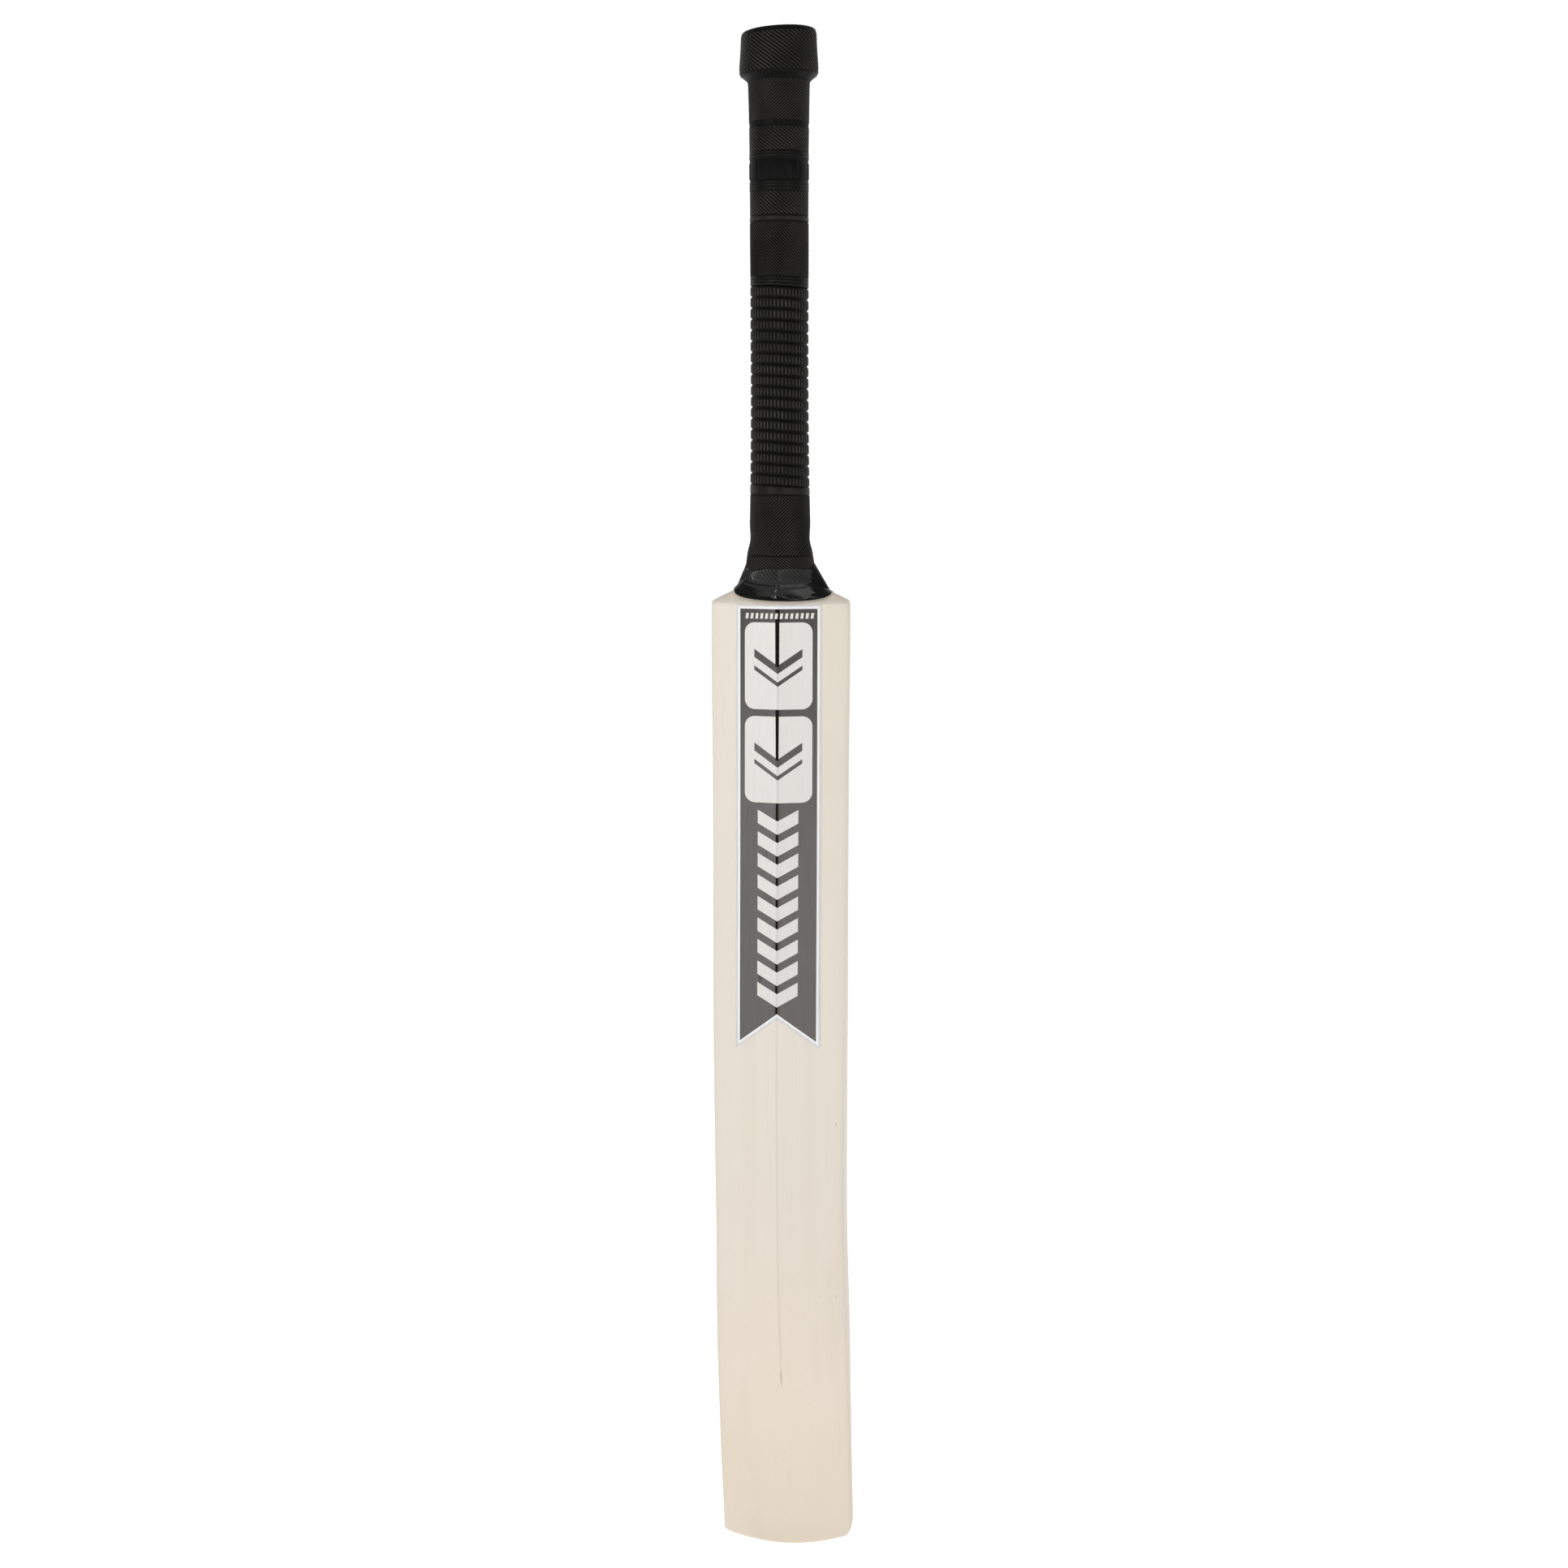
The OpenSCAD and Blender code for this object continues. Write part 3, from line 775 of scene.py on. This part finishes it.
def tilt(t):
    """Slope of the rows: the top slants up to the right, the ribs slant down to it."""
    table = [(0, 0.058), (10, 0.036), (24, 0.012), (50, 0.0), (125, -0.006), (136, -0.055),
             (190, -0.072), (238, -0.082), (247, -0.01), (262, 0.0), (300, 0.0)]
    for (t0, v0), (t1, v1) in zip(table, table[1:]):
        if t <= t1:
            return mix(v0, v1, (t - t0) / (t1 - t0))
    return 0.0


def skin(angle, z):
    """Thickness of the grip's skin around the shoulders, stretched thinner at the lower corners."""
    low = 1 - smooth_step(SHOULDER - 1, SHOULDER + 13, z)
    return WALL - 0.75 * low * smooth_step(0.6, 1.0, abs(math.cos(angle)))


def hem(angle, drop):
    """Lower edge of the grip and tape: high at the sides, higher on the left, low in between."""
    c = math.cos(angle)
    return SHOULDER + 4.9 - 0.9 * c - drop * (1 - abs(c) ** 2.6)


def section(angle, z, g):
    """A point of the skin around the shoulders: round at the top, the blade's outline below."""
    c, s = math.cos(angle), math.sin(angle)
    n = curve(z, CORNER)
    u = abs(c)
    lift = (1 - u ** n) ** (1 / n)
    x = c * (half_width(z) + g)
    if s > 0:
        y = middle(z) + (curve(z, EDGE) / 2 + curve(z, CROWN) * (1 - u * u) + g) * lift
    else:
        depth = curve(z, EDGE) / 2 + curve(z, ROOF) * (1 - u) - curve(z, DISH) + g
        y = middle(z) - depth * lift
    return x, y


def build_grip():
    ts = grip_rows()
    turns = twist_table(ts)
    rows = []
    flare_start = TOP - FLARE_TOP
    for t, turn in zip(ts, turns):
        row = []
        for i in range(AROUND):
            a = 2 * math.pi * i / AROUND + turn
            p, crest = pattern(t, i)
            wobble = 0.10 * noise.noise(Vector((math.cos(a) * 1.3, math.sin(a) * 1.3, t * 0.035)))
            if t <= flare_start:
                r = bare_radius(t) + p + wobble
                x, y, z = r * math.cos(a), r * math.sin(a), TOP - t
            else:
                s = (t - flare_start) / (BANDS_END - flare_start)
                z = mix(FLARE_TOP, mix(SHOULDER + 12, hem(a, GRIP_DROP) + 4, 0.35), s)
                g = mix(BARE[-1][1] - BOUND_R, skin(a, z), smooth_step(0, 0.4, s))
                x, y = section(a, z, g + p + wobble)
            row.append((x, y, z + tilt(t) * x, crest))
        rows.append(row)
    end_turn = turns[-1]
    last = rows[-1]
    for k in range(1, 9):
        s = k / 8
        row = []
        for i in range(AROUND):
            a = 2 * math.pi * i / AROUND + end_turn
            z = mix(last[i][2], hem(a, GRIP_DROP), s)
            x, y = section(a, z, skin(a, z))
            row.append((x, y, z, 0.3))
        rows.append(row)
    inner = []
    for s in (1.0, 0.5, 0.0):
        row = []
        for i in range(AROUND):
            a = 2 * math.pi * i / AROUND + end_turn
            z = mix(FLARE_TOP, hem(a, GRIP_DROP), s)
            x, y = section(a, z, 0.2)
            row.append((x, y, z, 0.3))
        inner.append(row)
    rows += inner
    bore = BOUND_R + 0.05
    bore_and_opening = [(bore, FLARE_TOP + 10), (bore, TOP - 4), (10.2, TOP - 4), (10.0, TOP - 1.0),
                        (10.5, TOP - 0.35), (12.0, TOP - 0.15), (14.0, TOP)]
    for r, z in bore_and_opening:
        slope = tilt(0) * smooth_step(TOP - 8, TOP - 3, z)
        rows.append([
            (r * math.cos(2 * math.pi * i / AROUND), r * math.sin(2 * math.pi * i / AROUND),
             z + slope * r * math.cos(2 * math.pi * i / AROUND), 0.4)
            for i in range(AROUND)
        ])
    verts, faces = loft(rows, closed_rows=True)
    return make_object("grip_sleeve", verts, faces, GRIP, 75)


grip = build_grip()
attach(grip, "root")
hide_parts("grip")

# ---------------------------------------------------------------- tape

TAPE_TOP = SHOULDER + 16.5
FLARE_RIDGES = 56


def build_tape():
    """Two turns of glossy tape; the grip's ridges show through the upper one."""
    rows = []
    steps = [0, 0.015, 0.04, 0.09, 0.15, 0.21, 0.27, 0.33, 0.39, 0.44, 0.48, 0.51, 0.535,
             0.56, 0.59, 0.62, 0.66, 0.71, 0.76, 0.81, 0.86, 0.91, 0.95, 0.98, 1.0]
    over = 0.08  # gap between the grip and the tape

    def ring(s, g, crumple):
        row = []
        for i in range(AROUND):
            a = 2 * math.pi * i / AROUND + 0.8 * s
            start = TAPE_TOP + 0.5 * noise.noise(Vector((math.cos(a), math.sin(a), 3.1)))
            z = mix(start, hem(a, TAPE_DROP), s)
            fold = noise.noise(Vector((math.cos(a) * 1.6, math.sin(a) * 1.6, z * 0.55)))
            fine = noise.noise(Vector((math.cos(a) * 5, math.sin(a) * 5, z * 1.5 + 5)))
            wave = 0.5 + 0.5 * math.cos(2 * math.pi * FLARE_RIDGES * i / AROUND)
            show = 1 - smooth_step(0.34, 0.50, s)
            bumps = crumple * (0.15 * fold + 0.06 * fine + 0.30 * show * wave)
            x, y = section(a, z, skin(a, z) + g + bumps)
            row.append((x, y, z, show * wave))
        return row

    for s in steps:
        second = 0.12 * smooth_step(0.50, 0.545, s)
        edge = 0.14 * math.exp(-((s - 0.56) / 0.03) ** 2)
        lip = smooth_step(0.0, 0.04, s) * (1 - smooth_step(0.95, 1.0, s))
        rows.append(ring(s, over + 0.12 + 0.16 * lip + second + edge, lip))
    for s in (1.0, 0.7, 0.4, 0.0):
        rows.append(ring(s, over, 0.0))
    verts, faces = loft(rows, closed_rows=True)
    return make_object("tape_band", verts, faces, TAPE, 60)


tape = build_tape()
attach(tape, "root")
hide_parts("grip_tape")

# ---------------------------------------------------------------- label

LABEL_TOP = SHOULDER - 3
LABEL_HALF = 23.3
LABEL_TIP = LABEL_TOP - 245
LABEL_NOTCH = LABEL_TIP + 18
FILM = 0.31  # height of the film above the wood
LAYER = 0.03  # between one printed layer and the next
ROW = 5  # height of the rows that the label is cut into
BLOCK_HIGH = 47.4
BLOCK_TOPS = (LABEL_TOP - 9.4, LABEL_TOP - 60.6)
CHEVRONS = 9
CHEVRON_PITCH = 11.9
BARS = 14
BAR_PITCH = 2.75


def swallow_tail(inset):
    side = LABEL_HALF - inset
    slope = (LABEL_NOTCH - LABEL_TIP) / LABEL_HALF
    rise = inset * math.hypot(1, slope)
    tip = LABEL_TIP + rise + inset * slope
    return [(-side, LABEL_TOP - inset), (side, LABEL_TOP - inset), (side, tip),
            (0, LABEL_NOTCH + rise), (-side, tip)]


def rounded_box(x0, x1, z0, z1, r, steps=8):
    out = []
    for cx, cz, start in ((x1 - r, z1 - r, 0), (x0 + r, z1 - r, 90), (x0 + r, z0 + r, 180),
                          (x1 - r, z0 + r, 270)):
        for k in range(steps + 1):
            a = math.radians(start + 90 * k / steps)
            out.append((cx + r * math.cos(a), cz + r * math.sin(a)))
    return out


def chevron(z, half, drop, thick):
    """A V-shaped bar, its arms at height z, its point lower by drop."""
    return [(-half, z), (0, z - drop), (half, z), (half, z - thick), (0, z - drop - thick),
            (-half, z - thick)]


def ridge_reflection_line(high, low):
    """Painted dark reflection along the ridge, a little left of it and narrower toward the toe."""
    wide = [mix(0.65, 1.15, smooth_step(430, 550, z)) for z in (high, low)]
    return [(-0.25 - wide[0], high), (-0.25 + wide[0], high), (-0.25 + wide[1], low),
            (-0.25 - wide[1], low)]


def label_shapes():
    """(outline, slot, layer) of every printed area and of the painted dark reflection along the
    ridge.
    """
    silver, bright, panel, white, fold = range(5)
    shapes = [(swallow_tail(0), silver, 0), (swallow_tail(0.9), bright, 1),
              (swallow_tail(2.1), panel, 2)]
    for top in BLOCK_TOPS:
        shapes.append((rounded_box(-18.6, 18.6, top - BLOCK_HIGH, top, 5.5), white, 3))
        shapes.append((chevron(top - 14.5, 13.2, 9.0, 4.4), panel, 4))
        shapes.append((chevron(top - 23.5, 13.2, 9.0, 2.4), panel, 4))
    for k in range(CHEVRONS):
        high = LABEL_TOP - 112.0 - CHEVRON_PITCH * k
        shapes.append((chevron(high, 11.2, 6.0, 7.4), white, 3))
    bar_high, bar_low = LABEL_TOP - 4.4, LABEL_TOP - 7.4
    for k in range(BARS):
        x = -17.8 + BAR_PITCH * k
        bar = [(x, bar_high), (x + 1.5, bar_high), (x + 1.1, bar_low), (x - 0.4, bar_low)]
        shapes.append((bar, white, 3))
    upper, lower = BLOCK_TOPS
    on_panel = [(LABEL_TOP - 2.1, upper), (upper - BLOCK_HIGH, lower),
                (lower - BLOCK_HIGH, LABEL_NOTCH + 2.6)]
    on_blocks = [(upper, upper - 24), (lower, lower - 24)]
    # Painted dark reflection along the ridge, on the panel and over the white blocks
    shapes += [(ridge_reflection_line(high, low), fold, 2.5) for high, low in on_panel]
    shapes += [(ridge_reflection_line(high, low), fold, 5) for high, low in on_blocks]
    return shapes


def cut(work, point, direction):
    bmesh.ops.bisect_plane(work, geom=work.faces[:] + work.edges[:] + work.verts[:],
                           dist=1e-5, plane_co=point, plane_no=direction)


def build_label():
    """Each printed area and each strip of painted reflection is cut along the ridge and into short
    rows, then laid on the blade.
    """
    mesh = bpy.data.meshes.new("label_film")
    total = bmesh.new()
    for outline, slot, layer in label_shapes():
        work = bmesh.new()
        face = work.faces.new([work.verts.new((x, 0, z)) for x, z in outline])
        face.material_index = slot
        low = min(z for x, z in outline)
        high = max(z for x, z in outline)
        for c in (-12, -4, -1.6, -0.8, -0.3, 0, 0.3, 0.8, 1.6, 4, 12):
            cut(work, (c, 0, 0), (1, 0, 0))
        z = math.floor(low / ROW) * ROW
        while z < high:
            cut(work, (0, 0, z), (0, 0, 1))
            z += ROW
        lift = FILM + LAYER * layer
        for v in work.verts:
            x, z = v.co.x, v.co.z
            y = back_y(x / half_width(z), z, lift, 0.75)
            v.co = Vector((x * MM, (y + AXIS_Y) * MM, z * MM))
        if layer == 0:
            rim = [e for e in work.edges if e.is_boundary]
            new = bmesh.ops.extrude_edge_only(work, edges=rim)["geom"]
            for v in (g for g in new if isinstance(g, bmesh.types.BMVert)):
                v.co.y += 0.24 * MM
        bmesh.ops.recalc_face_normals(work, faces=work.faces)
        for f in work.faces:
            if f.normal.y > 0.3:
                f.normal_flip()
            f.smooth = True
        work.to_mesh(mesh)
        total.from_mesh(mesh)
        work.free()
    total.to_mesh(mesh)
    total.free()
    for m in (SILVER, BRIGHT, PANEL, WHITE, RIDGE_REFLECTION):
        mesh.materials.append(m)
    mesh.set_sharp_from_angle(angle=math.radians(35))
    obj = bpy.data.objects.new("label_film", mesh)
    bpy.context.scene.collection.objects.link(obj)
    return obj


label = build_label()
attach(label, "root")
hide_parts("back_label")

# ---------------------------------------------------------------- floor, light, camera


def build_floor():
    """A pale floor that gives off some light, so that it stays white out to the horizon."""
    n = Nodes("floor")
    soft = n.noise(n.coords, 3.0, 2)
    base = n.blend(soft, (0.62, 0.62, 0.62), (0.66, 0.66, 0.66))
    n.finish(base, 0.9, Specular_IOR_Level=0.05, Emission_Color=(1, 1, 1, 1),
             Emission_Strength=0.72)
    mesh = bpy.data.meshes.new("floor")
    size, cells = 60.0, 8
    verts, faces = [], []
    for j in range(cells + 1):
        for i in range(cells + 1):
            verts.append((mix(-size, size, i / cells), mix(-size, size, j / cells), -0.0002))
    for j in range(cells):
        for i in range(cells):
            a = j * (cells + 1) + i
            faces.append((a, a + 1, a + cells + 2, a + cells + 1))
    mesh.from_pydata(verts, [], faces)
    mesh.materials.append(n.material)
    obj = bpy.data.objects.new("floor", mesh)
    bpy.context.scene.collection.objects.link(obj)
    return obj


build_floor()


def aim(obj, target):
    obj.rotation_mode = "QUATERNION"
    obj.rotation_quaternion = (Vector(target) - obj.location).to_track_quat("-Z", "Y")


def area_light(name, place, target, size, power, colour=(1, 1, 1)):
    data = bpy.data.lights.new(name, "AREA")
    data.shape = "RECTANGLE"
    data.size, data.size_y = size
    data.energy = power
    data.color = colour
    obj = bpy.data.objects.new(name, data)
    bpy.context.scene.collection.objects.link(obj)
    obj.location = place
    aim(obj, target)
    return obj


# A narrow key on the left gives crisp highlights, a broad one on the right fills in
area_light("key_left", (-1.1, -1.9, 0.85), (0, 0, 0.45), (0.22, 1.1), 12, (1.0, 0.99, 0.98))
area_light("key_right", (1.3, -1.7, 0.9), (0, 0, 0.45), (0.9, 1.2), 8.2, (1.0, 0.985, 0.965))
area_light("overhead", (-0.4, -0.9, 2.3), (0, 0, 0.6), (0.3, 0.25), 3.5)


def build_world():
    """White behind the object and a softer grey on the camera's side, so its form shows."""
    world = bpy.data.worlds.new("studio")
    world.use_nodes = True
    tree = world.node_tree
    split = tree.nodes.new("ShaderNodeSeparateXYZ")
    tree.links.new(tree.nodes.new("ShaderNodeTexCoord").outputs["Generated"], split.inputs[0])
    ramp = tree.nodes.new("ShaderNodeMapRange")
    ramp.interpolation_type = "SMOOTHSTEP"
    for key, v in zip(("From Min", "From Max", "To Min", "To Max"), (-0.05, 0.50, 0.34, 1.04)):
        ramp.inputs[key].default_value = v
    tree.links.new(split.outputs[1], ramp.inputs["Value"])
    background = tree.nodes["Background"]
    background.inputs[0].default_value = (1, 1, 1, 1)
    tree.links.new(ramp.outputs[0], background.inputs[1])
    bpy.context.scene.world = world


build_world()
bpy.context.scene.view_settings.view_transform = "Standard"
bpy.context.scene.view_settings.look = "None"


CAMERA_AT = (0.1382, (AXIS_Y - 1342.1) * MM, 0.6302)
CAMERA_LENS = 56.4
CAMERA_TURN, CAMERA_DOWN, CAMERA_ROLL = 5.80, 7.38, -0.13  # degrees


def make_camera():
    data = bpy.data.cameras.new("camera")
    data.sensor_width = 36.0
    data.lens = CAMERA_LENS
    cam = bpy.data.objects.new("camera", data)
    bpy.context.scene.collection.objects.link(cam)
    turn, down, roll = [math.radians(a) for a in (CAMERA_TURN, CAMERA_DOWN, CAMERA_ROLL)]
    ahead = Vector((-math.sin(turn) * math.cos(down), math.cos(turn) * math.cos(down),
                    -math.sin(down)))
    right = Vector((math.cos(turn), math.sin(turn), 0))
    up = right.cross(ahead)
    side = right * math.cos(roll) + up * math.sin(roll)
    rise = -right * math.sin(roll) + up * math.cos(roll)
    cam.matrix_world = Matrix((
        (side.x, rise.x, -ahead.x, CAMERA_AT[0]),
        (side.y, rise.y, -ahead.y, CAMERA_AT[1]),
        (side.z, rise.z, -ahead.z, CAMERA_AT[2]),
        (0, 0, 0, 1),
    ))
    data.clip_start, data.clip_end = 0.05, 100
    data.dof.use_dof = False
    bpy.context.scene.camera = cam


make_camera()
